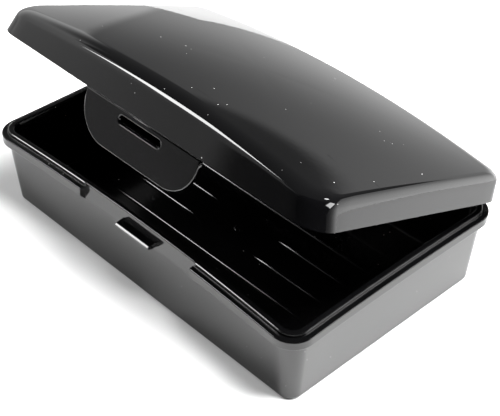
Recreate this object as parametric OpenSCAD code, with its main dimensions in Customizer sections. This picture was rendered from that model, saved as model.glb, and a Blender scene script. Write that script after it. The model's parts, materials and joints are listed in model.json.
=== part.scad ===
// Hinged travel soap box with a domed lid and a snap latch.
// Millimetres, +Z up. Origin: centre of the base's footprint, on the table.
// The latch faces -Y, the hinge is behind the +Y wall, and the lid stands part open.

/* [Box] */
// Overall length of the base rim and the lid edge, along X
box_w = 110; // [104:0.5:116]
// Overall depth of the base rim and the lid edge, along Y
box_d = 70.4; // [67:0.2:76]
// Height of the ledge that the lid closes on
rim_z = 21.1; // [20.6:0.1:23]
// Outer corner radius in plan
corner_r = 6.6; // [6:0.1:8]
// How far the front rim bends in at its middle
front_bow = 2.05; // [1.6:0.05:2.3]
// How far each side rim bends in at its middle
side_bow = 0.6; // [0:0.05:1]
// Thickness of the floor
floor_t = 1.5; // [1:0.1:2]

/* [Lid] */
// How far the lid stands open
lid_open = 22.05; // [0:0.05:100]
// Gap between the ledge and the lid edge when closed
lid_gap = 0.25; // [0.2:0.05:0.5]
// Height of the straight part of the skirt at the corners
skirt_h = 4.4; // [4:0.1:6]
// Extra height of the skirt at mid length, where the lid arches
arch_h = 2.2; // [1:0.1:3]
// Extra height of the skirt at the middle of each end
end_arch_h = 0.4; // [0:0.1:1]
// Height of the rounding between the skirt and the top, at the ends
round_end_h = 1.6; // [1:0.1:2.5]
// Height of the same rounding at mid length
round_mid_h = 3.4; // [2.5:0.1:4]
// Gentle crown of the top
crown_h = 1.1; // [0:0.1:2]
// Wall thickness of the lid
lid_t = 1.3; // [1.2:0.05:1.5]

/* [Latch] */
// Centre of the latch along X
latch_x = 0.4; // [0:0.1:0.4]
// Width of the recess in the front rim
recess_w = 40; // [40:0.2:42]
// Depth of the recess panel behind the rim face
recess_t = 1.8; // [1.7:0.01:1.9]
// Width of the latch flap
flap_w = 39; // [36:0.2:39]
// Height of the latch flap
flap_h = 11.2; // [10:0.1:12]
// Thickness of the latch flap
flap_t = 1.3; // [1.1:0.05:1.3]
// Radius of the flap's lower corners
flap_r = 9; // [6:0.1:9.5]
// Length of the slot in the flap
slot_w = 14.6; // [14:0.1:16]
// Height of the slot in the flap
slot_h = 2.2; // [2.2:0.05:2.4]
// Width of the catch bar
catch_w = 12.3; // [11:0.1:13]

/* [Hinge] */
// Distance of each hinge station from the middle
station_x = 30; // [24:1:38]
// Radius of the hinge pins
pin_r = 0.9; // [0.8:0.05:1]
// Radial clearance of a pin in its lid knuckle
pin_play = 0.05; // [0.02:0.01:0.08]
// Outer radius of ears and knuckles
knuckle_r = 2.3; // [2.1:0.05:2.4]

/* [Hidden] */
$fn = 48;

hx = box_w / 2;
hy = box_d / 2;
axis_y = hy + 5.6;
axis_z = rim_z - 0.05;
edge_z = rim_z + lid_gap;
flap_y = -hy + 0.35;
corner_n = 6;
along = [-0.88, -0.76, -0.64, -0.52, -0.42];
middle = [-0.25, -0.13, 0, 0.13, 0.25];

// Points of one corner arc, centred on (x, y)
function arc(x, y, r, a) =
    [for (i = [0 : corner_n]) let (turn = a + 90 * i / corner_n) [x + r * cos(turn), y + r * sin(turn)]];

// X stations of a long side, left to right, with a pair at each end of the recess
function stations(w) = let (e = recess_w / 2) concat(
    [for (s = along) s * w], [-e - 0.05, -e], [for (s = middle) s * w], [e, e + 0.05],
    [for (i = [len(along) - 1 : -1 : 0]) -along[i] * w]);

// Rounded rectangle of half sizes w and d, counter-clockwise from the front left,
// with corner radius r at the front and rb at the back
function outline(w, d, r, rb) =
    let (y0 = r - d, y1 = d - rb, side = [for (s = [0.125 : 0.125 : 0.875]) y0 + (y1 - y0) * s]) concat(
    [for (x = stations(w - r)) [x, -d]], arc(w - r, y0, r, -90),
    [for (y = side) [w, y]], arc(w - rb, y1, rb, 0),
    [for (x = stations(w - rb)) [-x, d]], arc(rb - w, y1, rb, 90),
    [for (i = [len(side) - 1 : -1 : 0]) [-w, side[i]]], arc(r - w, y0, r, 180));

// Skin through rings of equal length, closed by a fan at each end point
module skin(rings, first, last) {
    n = len(rings[0]);
    m = len(rings);
    polyhedron(
        points = concat([for (r = rings) each r], [first, last]),
        faces = concat(
            [for (k = [0 : m - 2], i = [0 : n - 1], h = [0, 1]) let (j = (i + 1) % n, a = k * n, b = a + n)
                h == 0 ? [a + i, b + j, a + j] : [a + i, b + i, b + j]],
            [for (i = [0 : n - 1]) [m * n, i, (i + 1) % n]],
            [for (i = [0 : n - 1]) let (b = (m - 1) * n) [m * n + 1, b + (i + 1) % n, b + i]]));
}

// Base ring at an inset and a height. The sides bend in with height, and
// the front gives way to the flat panel of the recess from the rim's foot up.
function base_ring(i, z) =
    let (bf = front_bow * z / rim_z, bs = side_bow * z / rim_z, r = max(corner_r - i, 1.4),
         lip = z > rim_z - 3.75 && i < 2.6)
    [for (p = outline(hx - i, hy - i, r, r))
        let (front = max(0, -p[1] / hy), bow = bf * (1 - pow(p[0] / hx, 2)) * front,
             x = p[0] - sign(p[0]) * bs * (1 - pow(p[1] / hy, 2)) * abs(p[0] / hx),
             panel = lip && front > 0.8 && abs(p[0]) <= recess_w / 2)
        [x, panel ? max(p[1] + bow, -hy + recess_t + 0.04 * i + 0.05 * (z - rim_z) + bow) : p[1] + bow, z]];

// Height of the skirt above the lid edge, and of the rounding above the skirt
function skirt(x, y) = skirt_h + arch_h * (1 - pow(x / hx, 2)) + end_arch_h * (1 - pow(y / hy, 2));
function turn_h(x) = round_end_h + (round_mid_h - round_end_h) * (1 - pow(x / hx, 2));
// Lid ring: insets on X and Y, front and back corner radius, share of the skirt,
// share of the rounding, distance under the outside, plan scale
function lid_ring(ix, iy, r, rb, k, lift, t, s = 1) =
    [for (p = outline(hx - ix, hy - iy, r, rb))
        let (x = p[0] * s, y = p[1] * s,
             crown = s < 1 ? (1 - pow(abs(x) / (hx - ix), 2.2)) * (1 - pow(y / (hy - iy), 2)) : 0)
        [x, y, edge_z + k * (skirt(x, y) - 0.75 * t) + lift * (turn_h(x) - 0.25 * t) + crown_h * crown]];
// One skin of the lid, from its edge to its crown; t is the distance under the outside.
// The turn is a quadratic curve, tangent to the skirt and to the top.
function lid_skin(t) =
    let (x0 = 1.8, y0 = 0.6, rx = 1.2, ry = 4, turn_x = 0.75, turn_y = 0.28, turn_z = 0.9, narrow = 0.6,
         edge_r = corner_r - t, front_r = 6.2 - t, back_r = 3.4 - t) concat(
    [for (k = [0, 0.5, 1])
        lid_ring(x0 * k + t, y0 * k + t, edge_r + (front_r - edge_r) * k, edge_r + (back_r - edge_r) * k,
                 k, 0, t)],
    [for (u = [0.16, 0.33, 0.5, 0.67, 0.84, 1]) let (m = 2 * u * (1 - u), e = u * u)
        lid_ring(x0 + turn_x * m + rx * e + t, y0 + turn_y * m + ry * e + t,
                 front_r - narrow * e, back_r - narrow * e, 1, turn_z * m + e, t)],
    [for (s = [0.94, 0.85, 0.7, 0.5, 0.28, 0.1])
        lid_ring(x0 + rx + t, y0 + ry + t, front_r - narrow, back_r - narrow, 1, 1, t, s)]);

// Places lid parts, drawn closed, at the standing angle
module opened() {
    translate([0, axis_y, axis_z]) rotate([-lid_open, 0, 0]) translate([0, -axis_y, -axis_z]) children();
}
// Extrudes a side profile, drawn in (y, z), from x0 to x1
module along_x(x0, x1) {
    translate([x0, 0, 0]) rotate([90, 0, 90]) linear_extrude(x1 - x0) children();
}

module base_tub() {
    wall = function (z) 3.3 - 1.7 * z / (rim_z - 3.7);
    color("#1b1b1d") skin([
        base_ring(4.3, 0), base_ring(3.6, 0.25), base_ring(wall(1), 1), base_ring(wall(9), 9),
        base_ring(1.62, rim_z - 3.8), base_ring(1.51, rim_z - 3.7), base_ring(0.03, rim_z - 2.3),
        base_ring(0, rim_z - 1.9), base_ring(0, rim_z - 0.25), base_ring(0.2, rim_z), base_ring(1.5, rim_z),
        base_ring(1.55, rim_z + 0.55), base_ring(1.85, rim_z + 0.85), base_ring(2.5, rim_z + 0.92),
        base_ring(3.05, rim_z + 0.75), base_ring(3.3, rim_z + 0.2), base_ring(4, rim_z - 9),
        base_ring(4.75, floor_t + 1), base_ring(5.1, floor_t + 0.3), base_ring(5.8, floor_t)],
        [0, 0, 0], [0, 0, floor_t]);
}

module floor_ribs() {
    color("#1b1b1d") {
        for (y = [-20, -12, 12, 20]) translate([-35, y - 0.5, floor_t - 0.1]) cube([70, 1, 0.65]);
        for (y = [-4.3, 4.3], x = [-35, 11]) translate([x, y - 0.5, floor_t - 0.1]) cube([24, 1, 0.65]);
        translate([0.5, 0.5, floor_t - 0.1]) cylinder(h = 0.5, r = 1.5);
    }
}

module latch_catch() {
    y = -hy + front_bow;
    color("#1b1b1d") along_x(latch_x - catch_w / 2, latch_x + catch_w / 2)
        polygon([[y + 2.7, rim_z - 3], [y + 0.2, rim_z - 3], [y - 1.25, rim_z - 2.6],
            [y - 1.25, rim_z - 1.95], [y - 0.95, rim_z - 1.65], [y + 2.7, rim_z - 1.15]]);
}

// A pair of ears on the base's back wall, with the pin's bore through both
module hinge_ears(x) {
    color("#1b1b1d") difference() {
        for (x0 = [x - 6, x + 3]) {
            along_x(x0, x0 + 3) {
                polygon([[hy - 2.2, rim_z - 8], [axis_y + 1.28, axis_z - 1.9], [axis_y, axis_z],
                    [axis_y - 0.9, axis_z + 2.1], [hy - 0.3, rim_z - 0.2], [hy - 1.9, rim_z - 0.2]]);
                translate([axis_y, axis_z]) circle(knuckle_r);
            }
        }
        translate([x - 7, axis_y, axis_z]) rotate([0, 90, 0]) cylinder(h = 14, r = pin_r);
    }
}

module hinge_pin(x) {
    color("#2a2a2c") translate([x - 6, axis_y, axis_z]) rotate([0, 90, 0]) cylinder(h = 12, r = pin_r);
}

module lid_shell() {
    inner = lid_skin(lid_t);
    outer = lid_skin(0);
    m = len(inner);
    mid = edge_z + skirt(0, 0) + turn_h(0) + crown_h;
    // inside from its crown down to the edge, then outside back up to the crown
    color("#161618") opened() skin(
        concat([for (k = [0 : m - 1]) inner[m - 1 - k]], [for (r = outer) r]),
        [0, 0, mid - lid_t], [0, 0, mid]);
}

module lid_knuckle(x) {
    color("#161618") opened() difference() {
        along_x(x - 2.85, x + 2.85) {
            polygon([[hy - 1, edge_z + 0.3], [hy - 0.2, edge_z + 0.15], [axis_y - 1.6, axis_z - 1.65],
                [axis_y, axis_z], [axis_y + 0.6, axis_z + 2.22], [hy - 0.6, edge_z + 4.4],
                [hy - 1, edge_z + 4.4]]);
            translate([axis_y, axis_z]) circle(knuckle_r);
        }
        translate([x - 7, axis_y, axis_z]) rotate([0, 90, 0]) cylinder(h = 14, r = pin_r + pin_play);
    }
}

module latch_flap() {
    c = flap_w / 2 - flap_r;
    top = edge_z - 0.1 - flap_t / 2;
    bottom = edge_z - flap_h;
    color("#161618") opened() {
        translate([latch_x, flap_y + flap_t, 0]) rotate([90, 0, 0]) linear_extrude(flap_t) difference() {
            intersection() {
                translate([-flap_w / 2, bottom]) square([flap_w, top - bottom]);
                union() {
                    translate([-flap_w / 2, bottom + flap_r]) square([flap_w, flap_r]);
                    translate([-c, bottom]) square([2 * c, flap_r + 0.1]);
                    for (s = [-1, 1]) translate([s * c, bottom + flap_r]) circle(flap_r);
                }
            }
            translate([-(slot_w - slot_h) / 2, edge_z - 1.5 - slot_h]) square([slot_w - slot_h, slot_h]);
            for (s = [-1, 1])
                translate([s * (slot_w - slot_h) / 2, edge_z - 1.5 - slot_h / 2]) circle(slot_h / 2);
        }
        translate([latch_x - flap_w / 2, flap_y + flap_t / 2, top]) rotate([0, 90, 0])
            cylinder(h = flap_w, r = flap_t / 2);
    }
}

base_tub();
floor_ribs();
latch_catch();
hinge_ears(-station_x);  // hinge_ears_left
hinge_ears(station_x);  // hinge_ears_right
hinge_pin(-station_x);  // hinge_pin_left
hinge_pin(station_x);  // hinge_pin_right
lid_shell();
lid_knuckle(-station_x);  // lid_knuckle_left
lid_knuckle(station_x);  // lid_knuckle_right
latch_flap();
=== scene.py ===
import json
import math

import bmesh
import bpy
from mathutils import Matrix, Vector


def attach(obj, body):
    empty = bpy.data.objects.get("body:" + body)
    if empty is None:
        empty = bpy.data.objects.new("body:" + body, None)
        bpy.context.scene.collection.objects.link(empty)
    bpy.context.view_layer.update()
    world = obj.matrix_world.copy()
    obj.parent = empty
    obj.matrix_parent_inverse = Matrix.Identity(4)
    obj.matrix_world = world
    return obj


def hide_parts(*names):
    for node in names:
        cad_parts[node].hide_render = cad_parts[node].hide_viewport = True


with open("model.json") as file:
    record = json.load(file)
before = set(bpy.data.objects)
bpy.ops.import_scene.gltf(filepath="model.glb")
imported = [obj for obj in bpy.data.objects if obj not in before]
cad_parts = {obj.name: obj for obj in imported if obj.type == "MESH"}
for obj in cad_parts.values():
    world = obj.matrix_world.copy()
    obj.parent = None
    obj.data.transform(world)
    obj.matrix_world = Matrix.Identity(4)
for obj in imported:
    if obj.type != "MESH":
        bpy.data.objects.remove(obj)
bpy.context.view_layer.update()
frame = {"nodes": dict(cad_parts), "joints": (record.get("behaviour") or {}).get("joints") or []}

nodes = frame["nodes"]
hinge = next(joint for joint in frame["joints"] if joint["name"] == "lid_hinge")

# ---------------------------------------------------------------- dimensions
# Millimetres. The driving sizes are the CAD model's, but the recess panel stands 0.15 mm further out.
# Lid parts are drawn closed and then turned to the angle at which the lid stands.
MM = 0.001

# base tub; the wall's insets are at its foot and at BAND_Z, where the upright band begins
BOX_W, BOX_D, RIM_Z = 110.0, 70.4, 21.1
HX, HY = BOX_W / 2, BOX_D / 2
CORNER, CORNER_MIN = 6.6, 1.4
FRONT_BOW, SIDE_BOW = 2.05, 0.6
FLOOR = 1.5
WALL_FOOT, WALL_TOP, BAND_Z = 3.3, 1.6, RIM_Z - 3.7

# latch recess in the front rim: its half width and lower edge, the depth and lean of its panel, half the
# length of its soft left end and of its sharp right end, and the insets where the lip behind it moves back
RECESS, RECESS_Z = 20.0, RIM_Z - 3.8
PANEL, PANEL_LEAN = 1.65, 0.05
END_SOFT, END_SHARP = 0.1, 0.04
LIP_FRONT, LIP_BACK, LIP_SHIFT = 1.5, 2.6, 0.86

# floor ribs and gate mark; SUNK is how far they reach into the floor
RIB_W, RIB_H, RIB_END, SHORT_RIB = 1.1, 0.57, 35, 24
LONG_ROWS, SHORT_ROWS = (-20, -12, 12, 20), (-4.3, 4.3)
GATE_XY, GATE_R, GATE_H = 0.5, 1.5, 0.35
SUNK = 0.02

# catch bar, on the front wall
LATCH_X = 0.4
CATCH_Y = -HY + FRONT_BOW
CATCH_HALF, CATCH_OUT = 6.15, 1.25
CATCH_MID_Z = RIM_Z - 2.2

# lid: heights, then the insets of the drafted skirt, of the turn and of the turn's guide point; corner radii
# at the top of the skirt, and what the turn takes off them; where the outer skirt begins, as a share of its
# height; how the wall's thickness is split between skirt and turn; and the scales of the top's rings
LID_GAP, LID_T = 0.25, 1.3
EDGE_Z = RIM_Z + LID_GAP
SKIRT, ARCH, END_ARCH, CROWN = 4.4, 2.2, 0.4, 1.1
ROUND_END, ROUND_MID = 1.6, 3.4
DRAFT_X, DRAFT_Y = 1.8, 0.6
ROUND_X, ROUND_Y = 1.2, 4.0
TURN_X, TURN_Y, TURN_Z = 0.75, 0.28, 0.9
TOP_FRONT, TOP_BACK, TOP_NARROW = 6.2, 3.4, 0.6
EDGE_LOW = 0.03
SKIRT_SHARE, TURN_SHARE = 0.75, 0.25
TOP_SCALES = (0.985, 0.96, 0.93, 0.88, 0.82, 0.75, 0.67, 0.58, 0.48, 0.37, 0.25, 0.12, 0.04)

# latch flap and its slot; FLAP_IN is from the box's front. Heights run down from FLAP_GAP below the lid's
# edge, so FLAP_H is that much less than in the CAD model, and the flap's top is another FLAP_DROP lower.
FLAP_W, FLAP_H, FLAP_T, FLAP_R = 39.0, 11.1, 1.3, 9.0
FLAP_BEVEL, FLAP_IN, FLAP_GAP, FLAP_DROP = 0.25, 0.35, 0.1, 0.12
SLOT_W, SLOT_H, SLOT_DROP = 14.6, 2.2, 1.4

# steps of curves
CORNER_STEPS, SIDE_STEPS, FRONT_STEPS = 14, 15, 41
FLAP_STEPS, RIB_STEPS, GATE_STEPS = 18, 8, 24

axis = Vector(hinge["pos_m"]) / MM
lid_angle = math.radians(hinge["range_deg"][0])
opened = Matrix.Translation(axis) @ Matrix.Rotation(lid_angle, 4, "X") @ Matrix.Translation(-axis)


# ---------------------------------------------------------------- mesh helpers
def spaced(start, end, steps):
    """Evenly spaced values from start to end."""
    return [start + (end - start) * k / steps for k in range(steps + 1)]


def linked(name, data):
    """A new object in the scene."""
    ob = bpy.data.objects.new(name, data)
    bpy.context.scene.collection.objects.link(ob)
    return ob


def clean(me):
    """Welds points that meet and turns all faces outward."""
    bm = bmesh.new()
    bm.from_mesh(me)
    bmesh.ops.remove_doubles(bm, verts=bm.verts, dist=2e-6)
    bmesh.ops.recalc_face_normals(bm, faces=bm.faces)
    bm.to_mesh(me)
    bm.free()


def make(name, shape, body, node, place=Matrix(), smooth=32):
    """A mesh piece from (points, faces) in mm. Edges that turn by more than smooth degrees stay sharp."""
    points, faces = shape
    me = bpy.data.meshes.new(name)
    me.from_pydata([tuple(place @ Vector(p) * MM) for p in points], [], faces)
    me.validate()
    clean(me)
    me.shade_smooth()
    me.set_sharp_from_angle(angle=math.radians(smooth))
    ob = linked(name, me)
    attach(ob, body)
    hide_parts(node)
    return ob


def rounded(profile, steps):
    """Rounds each (a, b, radius) corner of an open polyline with an arc."""
    out = []
    for k, (a, b, radius) in enumerate(profile):
        corner = Vector((a, b))
        if radius <= 0 or k in (0, len(profile) - 1):
            out.append(corner)
            continue
        back = Vector(profile[k - 1][:2]) - corner
        ahead = Vector(profile[k + 1][:2]) - corner
        half = back.angle(ahead) / 2
        cut = min(radius / math.tan(half), 0.48 * back.length, 0.48 * ahead.length)
        back.normalize()
        ahead.normalize()
        centre = corner + (back + ahead).normalized() * (cut / math.cos(half))
        start = corner + back * cut - centre
        end = corner + ahead * cut - centre
        turn = math.atan2(start.x * end.y - start.y * end.x, start.dot(end))
        out += [centre + Matrix.Rotation(a, 2) @ start for a in spaced(0, turn, steps)]
    return out


def arc(x, y, radius, start, end, steps):
    """Points of an arc around (x, y), from start to end degrees."""
    turns = [math.radians(a) for a in spaced(start, end, steps)]
    return [(x + radius * math.cos(a), y + radius * math.sin(a)) for a in turns]


def outline(w, d, r, front_xs, back_r):
    """Rounded rectangle of half sizes w and d, counter-clockwise from the front left.

    front_xs are the stations along the front side, r rounds the front corners and back_r the back ones.
    """
    front_y, back_y = r - d, d - back_r
    front = [(x, -d) for x in front_xs]
    right = [(w, y) for y in spaced(front_y, back_y, SIDE_STEPS)[1:-1]]
    back = [(-x * (w - back_r) / (w - r), d) for x in front_xs]
    left = [(-x, y) for x, y in reversed(right)]
    return (front + arc(w - r, front_y, r, -90, 0, CORNER_STEPS)
            + right + arc(w - back_r, back_y, back_r, 0, 90, CORNER_STEPS)
            + back + arc(back_r - w, back_y, back_r, 90, 180, CORNER_STEPS)
            + left + arc(r - w, front_y, r, 180, 270, CORNER_STEPS))


def strip(rings):
    """Points and quads that join closed rings of equal length."""
    n = len(rings[0])
    faces = [(k * n + i, k * n + (i + 1) % n, (k + 1) * n + (i + 1) % n, (k + 1) * n + i)
             for k in range(len(rings) - 1) for i in range(n)]
    return [p for ring in rings for p in ring], faces


def skin(rings, first, last):
    """A strip, closed with a fan to the point first and a fan to the point last."""
    points, faces = strip(rings)
    n, count = len(rings[0]), len(points)
    faces += [(count, (i + 1) % n, i) for i in range(n)]
    faces += [(count + 1, count - n + i, count - n + (i + 1) % n) for i in range(n)]
    return points + [first, last], faces


def capped(rings):
    """A strip, closed at both ends with one flat face."""
    points, faces = strip(rings)
    n, count = len(rings[0]), len(points)
    return points, faces + [tuple(range(n)), tuple(range(count - n, count))]


def merged(shapes):
    """One shape from several."""
    points, faces = [], []
    for more_points, more_faces in shapes:
        faces += [tuple(i + len(points) for i in face) for face in more_faces]
        points += more_points
    return points, faces


# ---------------------------------------------------------------- base tub
def smooth_step(t):
    """0 below 0, 1 above 1, and an S curve between."""
    t = max(0.0, min(1.0, t))
    return t * t * (3 - 2 * t)


def notch(x):
    """1 inside the latch recess and 0 outside it."""
    left = smooth_step((x + RECESS + END_SOFT) / (2 * END_SOFT))
    right = smooth_step((RECESS + END_SHARP - x) / (2 * END_SHARP))
    return left * right


def tub_xs(w):
    """Stations along the front, close together where the recess begins and ends."""
    outer = spaced(-w, -RECESS - 0.6, 15)[1:]
    left = spaced(-RECESS - END_SOFT, -RECESS + END_SOFT, 5)
    middle = spaced(-RECESS + 0.5, RECESS - 0.5, 20)
    right = spaced(RECESS - END_SHARP, RECESS + END_SHARP, 4)
    return outer + left + middle + right + [-x for x in reversed(outer)]


def base_ring(inset, z):
    """Tub ring. The sides bend in with height, and the front gives way to the recess panel."""
    radius = max(CORNER - inset, CORNER_MIN)
    ring = []
    for x, y in outline(HX - inset, HY - inset, radius, tub_xs(HX - inset - radius), radius):
        frontness = max(0.0, -y / HY)
        bow = FRONT_BOW * z / RIM_Z * (1 - (x / HX) ** 2) * frontness
        bend = SIDE_BOW * z / RIM_Z * (1 - (y / HY) ** 2) * x / HX
        new_y = y + bow
        if z > RECESS_Z and inset < LIP_BACK and frontness > 0.8 and abs(x) < RECESS + 1:
            moved = LIP_SHIFT * max(0.0, inset - LIP_FRONT) + PANEL_LEAN * min(z - RIM_Z, 0.0)
            panel_y = -HY + PANEL + moved + bow
            new_y += (max(new_y, panel_y) - new_y) * notch(x)
        ring.append((x - bend, new_y, z))
    return ring


def wall(z):
    """Inset of the outer wall at a height below the band."""
    return WALL_FOOT - (WALL_FOOT - WALL_TOP) * z / BAND_Z


# (inset, height, rounding) from the underside, up the outside, over the lip and down the inside
tub_profile = rounded([
    (8, 0, 0), (WALL_FOOT, 0, 1.0), (wall(9), 9, 0), (1.62, RECESS_Z, 0.25),
    (0.0, RIM_Z - 2.2, 0.35), (0.0, RIM_Z, 0.28),
    (LIP_FRONT, RIM_Z, 0.12), (1.57, RIM_Z + 0.75, 0.1), (1.8, RIM_Z + 0.92, 0.1), (3.1, RIM_Z + 0.95, 0.5),
    (3.3, RIM_Z - 0.5, 0), (4.0, RIM_Z - 9, 0), (4.85, FLOOR, 1.2), (9, FLOOR, 0)], 5)
tub_shape = skin([base_ring(p.x, p.y) for p in tub_profile], (0, 0, 0), (0, 0, FLOOR))
tub = make("base_tub_visual", tub_shape, "base", "base_tub")

# ---------------------------------------------------------------- floor ribs and gate mark
# section of a rib, in half widths and heights; its sloped flanks catch the light as thin lines
RIB_SECTION = [(1, 0), (0.96, 0.4), (0.9, 0.5), (0.3, 0.92), (0.16, 1),
               (-0.16, 1), (-0.3, 0.92), (-0.9, 0.5), (-1, 0)]


def rib(x0, x1, y):
    """A low rib along X. It tapers over the last twelfth at each end, almost to a point."""
    rings = []
    for k in range(RIB_STEPS + 1):
        t = (1 - math.cos(math.pi * k / RIB_STEPS)) / 2
        size = 0.05 if k in (0, RIB_STEPS) else math.sin(math.pi / 2 * min(1, 12 * min(t, 1 - t)))
        x = x0 + (x1 - x0) * t
        rings.append([(x, y + RIB_W / 2 * size * a, FLOOR - SUNK + RIB_H * size * b) for a, b in RIB_SECTION])
    return strip(rings)


def gate_mark():
    """A small round boss with a soft edge."""
    top = FLOOR + GATE_H
    side = rounded([(0, top, 0), (GATE_R - 0.15, top, 0.25), (GATE_R, FLOOR - SUNK, 0)], 4)
    turns = [2 * math.pi * j / GATE_STEPS for j in range(GATE_STEPS)]
    rings = []
    for p in side:
        radius = max(p.x, 0.02)
        rings.append([(GATE_XY + radius * math.cos(a), GATE_XY + radius * math.sin(a), p.y) for a in turns])
    return strip(rings)


long_ribs = [rib(-RIB_END, RIB_END, y) for y in LONG_ROWS]
short_ribs = [rib(x, x + SHORT_RIB, y) for y in SHORT_ROWS for x in (-RIB_END, RIB_END - SHORT_RIB)]
floor_shape = merged(long_ribs + short_ribs + [gate_mark()])
ribs = make("floor_ribs_visual", floor_shape, "base", "floor_ribs", smooth=60)

# ---------------------------------------------------------------- catch bar
# (y, z, rounding) from the wall along the underside to the front, and back over the sloped top
catch_profile = rounded([
    (CATCH_Y + 2.6, RIM_Z - 3, 0), (CATCH_Y + 0.2, RIM_Z - 3, 0.1),
    (CATCH_Y - CATCH_OUT, RIM_Z - 2.6, 0.08), (CATCH_Y - CATCH_OUT, RIM_Z - 2.0, 0.06),
    (CATCH_Y - 0.83, RIM_Z - 1.72, 0.06), (CATCH_Y + 2.6, RIM_Z - 1.18, 0)], 6)


def catch_ring(x, draw_in):
    """The bar's profile at x from its middle, drawn in from the front and made lower by draw_in."""
    front_y, scale = CATCH_Y - CATCH_OUT + draw_in, 1 - draw_in / 0.95
    ring = []
    for p in catch_profile:
        y = max(p.x, front_y) if p.x < CATCH_Y + 1 else p.x
        ring.append((LATCH_X + x, y, CATCH_MID_Z + (p.y - CATCH_MID_Z) * scale))
    return ring


# (distance from the middle, draw-in) from the end inward
catch_end = [(CATCH_HALF, 0.22), (CATCH_HALF - 0.07, 0.08), (CATCH_HALF - 0.22, 0.0)]
left_end = [catch_ring(-x, draw_in) for x, draw_in in catch_end]
right_end = [catch_ring(x, draw_in) for x, draw_in in reversed(catch_end)]
catch_shape = capped(left_end + right_end)
catch = make("latch_catch_visual", catch_shape, "base", "latch_catch", smooth=60)


# ---------------------------------------------------------------- lid
def skirt_h(x, y):
    """Height of the skirt above the lid's edge; it is higher at the middle of each side."""
    return SKIRT + ARCH * (1 - (x / HX) ** 2) + END_ARCH * (1 - (y / HY) ** 2)


def turn_h(x):
    """Height of the rounded turn from the skirt to the top; it tightens toward the ends."""
    return ROUND_END + (ROUND_MID - ROUND_END) * (1 - (x / HX) ** 2)


def lid_ring(inset_x, inset_y, front_r, back_r, up, lift, under=0.0, scale=1.0):
    """Lid ring at shares of the skirt's height (up) and the turn's (lift).

    under is how far it lies inside the lid's outer face, and a scale below 1 puts it on the crowned top.
    """
    w, d = HX - inset_x, HY - inset_y
    ring = []
    for x, y in outline(w, d, front_r, spaced(front_r - w, w - front_r, FRONT_STEPS)[1:-1], back_r):
        x, y = x * scale, y * scale
        z = EDGE_Z + up * (skirt_h(x, y) - SKIRT_SHARE * under) + lift * (turn_h(x) - TURN_SHARE * under)
        if scale < 1:
            z += CROWN * (1 - (abs(x) / w) ** 2.2) * (1 - (abs(y) / d) ** 2)
        ring.append((x, y, z))
    return ring


def lid_skin(under, lowest, turn_steps):
    """Rings up the skirt, round the turn (a quadratic curve tangent at both ends) and over the top."""
    edge_r, front_r, back_r = CORNER - under, TOP_FRONT - under, TOP_BACK - under
    rings = []
    for k in (lowest, 0.25, 0.5, 0.75, 1):
        rings.append(lid_ring(DRAFT_X * k + under, DRAFT_Y * k + under,
                              edge_r + (front_r - edge_r) * k, edge_r + (back_r - edge_r) * k, k, 0, under))
    for u in spaced(0, 1, turn_steps)[1:]:
        guide, end = 2 * u * (1 - u), u * u
        rings.append(lid_ring(DRAFT_X + TURN_X * guide + ROUND_X * end + under,
                              DRAFT_Y + TURN_Y * guide + ROUND_Y * end + under,
                              front_r - TOP_NARROW * end, back_r - TOP_NARROW * end,
                              1, TURN_Z * guide + end, under))
    for scale in TOP_SCALES:
        rings.append(lid_ring(DRAFT_X + ROUND_X + under, DRAFT_Y + ROUND_Y + under,
                              front_r - TOP_NARROW, back_r - TOP_NARROW, 1, 1, under, scale))
    return rings


inner_rings = lid_skin(LID_T, 0, 8)
outer_rings = lid_skin(0, EDGE_LOW, 14)
# (inset, corner radius) of the flat lower edge, at its inner and its outer side
lower_edge = [lid_ring(inset, inset, radius, radius, 0, 0)
              for inset, radius in ((LID_T - 0.25, CORNER - 0.9), (0.2, CORNER - 0.15))]
top_z = EDGE_Z + skirt_h(0, 0) + ROUND_MID + CROWN
lid_shape = skin(inner_rings[::-1] + lower_edge + outer_rings, (0, 0, top_z - LID_T), (0, 0, top_z))
lid = make("lid_shell_visual", lid_shape, "lid", "lid_shell", place=opened)


# ---------------------------------------------------------------- latch flap
def flap_curve():
    """The flap's outline with its slot, filled, thick and bevelled. The bevel grows it back to full size."""
    w, h, r = FLAP_W / 2 - FLAP_BEVEL, FLAP_H - FLAP_BEVEL, FLAP_R - FLAP_BEVEL
    top = -FLAP_BEVEL - FLAP_DROP
    rim = ([(-w, top)] + arc(r - w, r - h, r, 180, 270, FLAP_STEPS)
           + arc(w - r, r - h, r, 270, 360, FLAP_STEPS) + [(w, top)])
    slot_x, slot_y, slot_r = (SLOT_W - SLOT_H) / 2, -SLOT_DROP - SLOT_H / 2, SLOT_H / 2 + FLAP_BEVEL
    slot = (arc(slot_x, slot_y, slot_r, 90, -90, FLAP_STEPS)
            + arc(-slot_x, slot_y, slot_r, 270, 90, FLAP_STEPS))
    curve = bpy.data.curves.new("flap_outline", "CURVE")
    curve.dimensions = "2D"
    curve.fill_mode = "BOTH"
    for points in (rim, slot):
        spline = curve.splines.new("POLY")
        spline.points.add(len(points) - 1)
        spline.use_cyclic_u = True
        for point, (x, y) in zip(spline.points, points):
            point.co = (x * MM, y * MM, 0, 1)
    curve.extrude = (FLAP_T / 2 - FLAP_BEVEL) * MM
    curve.bevel_depth = FLAP_BEVEL * MM
    curve.bevel_resolution = 3
    return curve


def curve_mesh(curve):
    """The mesh of a curve, which is then removed."""
    ob = linked("flap_tmp", curve)
    bpy.context.view_layer.update()
    me = bpy.data.meshes.new_from_object(ob.evaluated_get(bpy.context.evaluated_depsgraph_get()))
    bpy.data.objects.remove(ob)
    bpy.data.curves.remove(curve)
    return me


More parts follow.
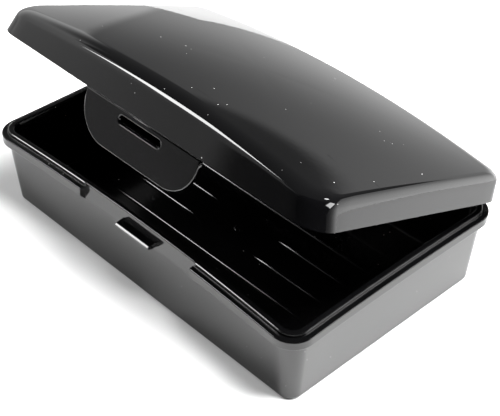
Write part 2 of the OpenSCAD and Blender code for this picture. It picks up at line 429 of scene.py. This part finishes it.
# from the flap's own plane to the lid's front, hanging from the edge
hang = (opened @ Matrix.Translation((LATCH_X, -HY + FLAP_IN + FLAP_T / 2, EDGE_Z - FLAP_GAP))
        @ Matrix.Rotation(math.radians(90), 4, "X"))
flap_mesh = curve_mesh(flap_curve())
flap_mesh.name = "latch_flap_visual"
flap_mesh.transform(Matrix.Scale(MM, 4) @ hang @ Matrix.Scale(1 / MM, 4))
clean(flap_mesh)
flap_mesh.shade_smooth()
flap_front = hang.to_3x3() @ Vector((0, 0, 1))
for face in flap_mesh.polygons:
    face.use_smooth = abs(face.normal.dot(flap_front)) < 0.999
flap = linked("latch_flap_visual", flap_mesh)
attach(flap, "latch")
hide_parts("latch_flap")

# flat faces stay flat, and the small roundings between them carry the change of direction
for ob in (catch, tub, ribs):
    weighted = ob.modifiers.new("weighted", "WEIGHTED_NORMAL")
    weighted.mode = "FACE_AREA"
    weighted.weight = 100
    weighted.keep_sharp = True


# ---------------------------------------------------------------- shader helpers
class Tree:
    """Short calls for a node tree. An input takes a value or another node's output."""

    def __init__(self, node_tree):
        self.node_tree = node_tree

    def node(self, kind, inputs, **settings):
        made = self.node_tree.nodes.new(kind)
        for name, value in settings.items():
            setattr(made, name, value)
        for name, value in inputs.items():
            if isinstance(value, bpy.types.NodeSocket):
                self.node_tree.links.new(value, made.inputs[name])
            else:
                made.inputs[name].default_value = value
        return made

    def calc(self, operation, a, b):
        return self.node("ShaderNodeMath", {0: a, 1: b}, operation=operation).outputs[0]

    def ramp(self, value, lo, hi, a=0.0, b=1.0, kind="LINEAR"):
        """a up to lo, b from hi on, and a linear or smooth change between them."""
        inputs = {"Value": value, "From Min": lo, "From Max": hi, "To Min": a, "To Max": b}
        return self.node("ShaderNodeMapRange", inputs, interpolation_type=kind).outputs["Result"]

    def noise(self, vector, scale, detail, rough=0.5, distortion=0.0):
        inputs = {"Vector": vector, "Scale": scale, "Detail": detail, "Roughness": rough,
                  "Distortion": distortion}
        return self.node("ShaderNodeTexNoise", inputs).outputs["Fac"]

    def mix(self, a, b, factor):
        inputs = {"A": a, "B": b, "Factor": factor}
        return self.node("ShaderNodeMix", inputs, data_type="RGBA").outputs["Result"]

    def vector(self, operation, a, b=(0, 0, 0)):
        return self.node("ShaderNodeVectorMath", {0: a, 1: b}, operation=operation)


# ---------------------------------------------------------------- materials
def dust(tree, spot, cells):
    """Small dots, one to a cell, thinned out by a slow noise."""
    cell = tree.node("ShaderNodeTexVoronoi", {"Vector": spot, "Scale": cells}, feature="F1")
    dots = tree.ramp(cell.outputs["Distance"], 0.055, 0.03)
    return tree.calc("MULTIPLY", dots, tree.ramp(tree.noise(spot, 60, 2), 0.5, 0.54))


def unevenness(tree, spot, peel, scratch):
    """Slow waviness, fine orange peel and hair scratches, in metres."""
    waves = tree.ramp(tree.noise(spot, 28, 1), 0, 1, 0, peel * 6)
    total = tree.calc("ADD", waves, tree.ramp(tree.noise(spot, 650, 2), 0, 1, 0, peel))
    if scratch:
        stretched = tree.node("ShaderNodeMapping", {"Vector": spot, "Rotation": (0.3, 0.2, 0.7),
                                                    "Scale": (40, 900, 900)})
        hairs = tree.noise(stretched.outputs[0], 1, 1)
        total = tree.calc("ADD", total, tree.ramp(hairs, 0.74, 0.78, 0, -scratch))
    return total


def plastic(name, colour, rough, spread, peel, dust_cells, scratch=0.0):
    """Moulded gloss plastic: near black, unevenly glossy, with dust and a fine uneven surface."""
    material = bpy.data.materials.new(name)
    material.use_nodes = True
    material.node_tree.nodes.clear()
    tree = Tree(material.node_tree)
    spot = tree.node("ShaderNodeTexCoord", {}).outputs["Object"]
    lighter = tuple(2 * c for c in colour)
    body = tree.mix((*colour, 1), (*lighter, 1), tree.ramp(tree.noise(spot, 35, 3), 0.35, 0.7))
    smears = tree.ramp(tree.noise(spot, 22, 4, 0.6, 0.6), 0.35, 0.7, rough, rough + spread)
    grain = tree.ramp(tree.noise(spot, 900, 2), 0.3, 0.7, 0, spread * 0.4)
    bump = tree.node("ShaderNodeBump", {"Strength": 1.0, "Distance": 1.0,
                                        "Height": unevenness(tree, spot, peel, scratch)})
    shader = tree.node("ShaderNodeBsdfPrincipled", {
        "Base Color": tree.mix(body, (0.5, 0.5, 0.49, 1), dust(tree, spot, dust_cells)),
        "Roughness": tree.calc("ADD", smears, grain),
        "IOR": 1.5,
        "Normal": bump.outputs["Normal"]})
    tree.node("ShaderNodeOutputMaterial", {"Surface": shader.outputs[0]})
    return material


lid_black = plastic("lid_gloss_black", (0.0008, 0.0008, 0.0009), 0.02, 0.03, 1.2e-6, 330, 2e-6)
base_black = plastic("base_gloss_black", (0.0012, 0.0012, 0.0013), 0.10, 0.06, 2.5e-6, 400, 4e-6)
flap_black = plastic("flap_gloss_black", (0.0008, 0.0008, 0.0009), 0.06, 0.04, 1.5e-6, 200, 2e-6)
pin_black = plastic("pin_black", (0.01, 0.01, 0.011), 0.2, 0.1, 2e-6, 260)

painted = ((tub, base_black), (ribs, base_black), (catch, base_black), (lid, lid_black), (flap, flap_black))
for ob, material in painted:
    ob.data.materials.clear()
    ob.data.materials.append(material)
for part, material in (("hinge_ears", base_black), ("hinge_pin", pin_black), ("lid_knuckle", lid_black)):
    for end in ("left", "right"):
        for material_slot in nodes[f"{part}_{end}"].material_slots:
            material_slot.material = material


# ---------------------------------------------------------------- floor
def ground(name, x_range, y_range, z, steps):
    """A level grid, in metres."""
    row = steps + 1
    points = [(x, y, z) for y in spaced(*y_range, steps) for x in spaced(*x_range, steps)]
    faces = [(j * row + i, j * row + i + 1, (j + 1) * row + i + 1, (j + 1) * row + i)
             for j in range(steps) for i in range(steps)]
    me = bpy.data.meshes.new(name)
    me.from_pydata(points, [], faces)
    ob = linked(name, me)
    return ob


# it ends 11 cm behind and to the left of the box, and reaches far to the front and the right
floor = ground("floor", (-0.168, 3.0), (-3.0, 0.155), -0.00002, 24)
floor_white = bpy.data.materials.new("floor_white")
floor_white.use_nodes = True
floor_shader = floor_white.node_tree.nodes["Principled BSDF"]
floor_shader.inputs["Base Color"].default_value = (0.86, 0.86, 0.86, 1)
floor_shader.inputs["Roughness"].default_value = 0.9
floor_shader.inputs["Specular IOR Level"].default_value = 0.0
floor.data.materials.append(floor_white)


# ---------------------------------------------------------------- lights
def softbox(name, place, target, width, height, watts):
    """A rectangular light panel that faces a target."""
    light = bpy.data.lights.new(name, "AREA")
    light.shape = "RECTANGLE"
    light.size = width
    light.size_y = height
    light.energy = watts
    ob = linked(name, light)
    ob.location = place
    ob.rotation_mode = "QUATERNION"
    ob.rotation_quaternion = (Vector(target) - Vector(place)).to_track_quat("-Z", "Y")
    return ob


# above and behind: it throws the soft shadow to the front, and isn't seen in reflections
key = softbox("key", (0.20, 0.12, 0.55), (0.02, -0.06, 0.0), 0.32, 0.32, 4.7)
key.data.spread = math.radians(110)
key.visible_glossy = False
# front left: the white lines along rim, catch and ribs
softbox("front", (-0.467, -0.36, 0.585), (0.015, -0.026, 0.057), 0.16, 0.27, 2.7)
# right and behind: light on the right walls
softbox("side", (0.62, 0.4, 0.4), (0.1, 0.05, 0), 0.3, 0.3, 3.4)

# ---------------------------------------------------------------- world
# brightness by direction: compass 0 is +Y and 90 is +X, and height goes from -1 (down) to 1 (up)
world = bpy.data.worlds.new("studio")
world.use_nodes = True
bpy.context.scene.world = world
sky = Tree(world.node_tree)
direction = sky.node("ShaderNodeTexCoord", {}).outputs["Generated"]
height = sky.node("ShaderNodeSeparateXYZ", {0: direction}).outputs["Z"]
flat = sky.vector("MULTIPLY", direction, (1, 1, 0)).outputs[0]
level = sky.vector("NORMALIZE", flat).outputs[0]


def along(source, axis_xyz):
    """Dot product of a direction with an axis."""
    return sky.vector("DOT_PRODUCT", source, axis_xyz).outputs["Value"]


def toward(compass):
    """Cosine of the level angle from a compass direction."""
    turn = math.radians(compass)
    return along(level, (math.sin(turn), math.cos(turn), 0))


def soft(value, lo, hi, a=0.0, b=1.0):
    """A smooth change from a to b."""
    return sky.ramp(value, lo, hi, a, b, "SMOOTHSTEP")


def joined(operation, first, *others):
    """All the values, added or multiplied."""
    for other in others:
        first = sky.calc(operation, first, other)
    return first


# a bright room behind the box: dark above a low edge, and brightest below the table's level
back_fall = sky.calc("POWER", sky.calc("MAXIMUM", toward(20), 0.0), 2.6)
back_room = joined("MULTIPLY", back_fall, soft(height, -0.3, 0.14, 5.0, 1.3), soft(height, 0.185, 0.21, 1, 0))
# a pale panel to the left with a slanting edge toward the back, dimmer toward its sides and low down
slant = along(direction, (-0.399, -0.303, -0.335))
left_panel = joined("MULTIPLY", soft(slant, -0.02, 0.08), soft(height, 0.65, 0.68, 1, 0),
                    soft(toward(-137), 0.0, 0.02), soft(toward(-54.5), 0.0, 0.03),
                    soft(toward(-90), 0.63, 0.83, 0.45, 1.2), soft(height, 0.0, 0.05, 0.45, 1))
# faint light all round, fainter from the camera's side
dim = soft(toward(-54.5), -0.2, 0.1, 0.012, 0.14)
# a small lamp far behind, seen only as a glint in the near corner of the lid
lamp = soft(along(direction, (0.1018, 0.7243, 0.682)), 0.9984, 0.999, 0, 30)
background = world.node_tree.nodes["Background"]
world.node_tree.links.new(joined("ADD", back_room, left_panel, dim, lamp), background.inputs["Color"])
background.inputs["Strength"].default_value = 1.0

# ---------------------------------------------------------------- camera
EYE, AIM, ROLL = Vector((0.19369, -0.18013, 0.22401)), Vector((0.01448, -0.00912, 0.022)), 0.37
camera_data = bpy.data.cameras.new("camera")
camera_data.lens = 96.57
camera_data.sensor_width = 36
camera_data.clip_start = 0.01
camera_data.clip_end = 10
camera = linked("camera", camera_data)
camera.location = EYE
camera.rotation_mode = "QUATERNION"
roll = Matrix.Rotation(math.radians(ROLL), 3, "Z").to_quaternion()
camera.rotation_quaternion = (AIM - EYE).to_track_quat("-Z", "Y") @ roll
bpy.context.scene.camera = camera
bpy.context.scene.view_settings.view_transform = "Standard"
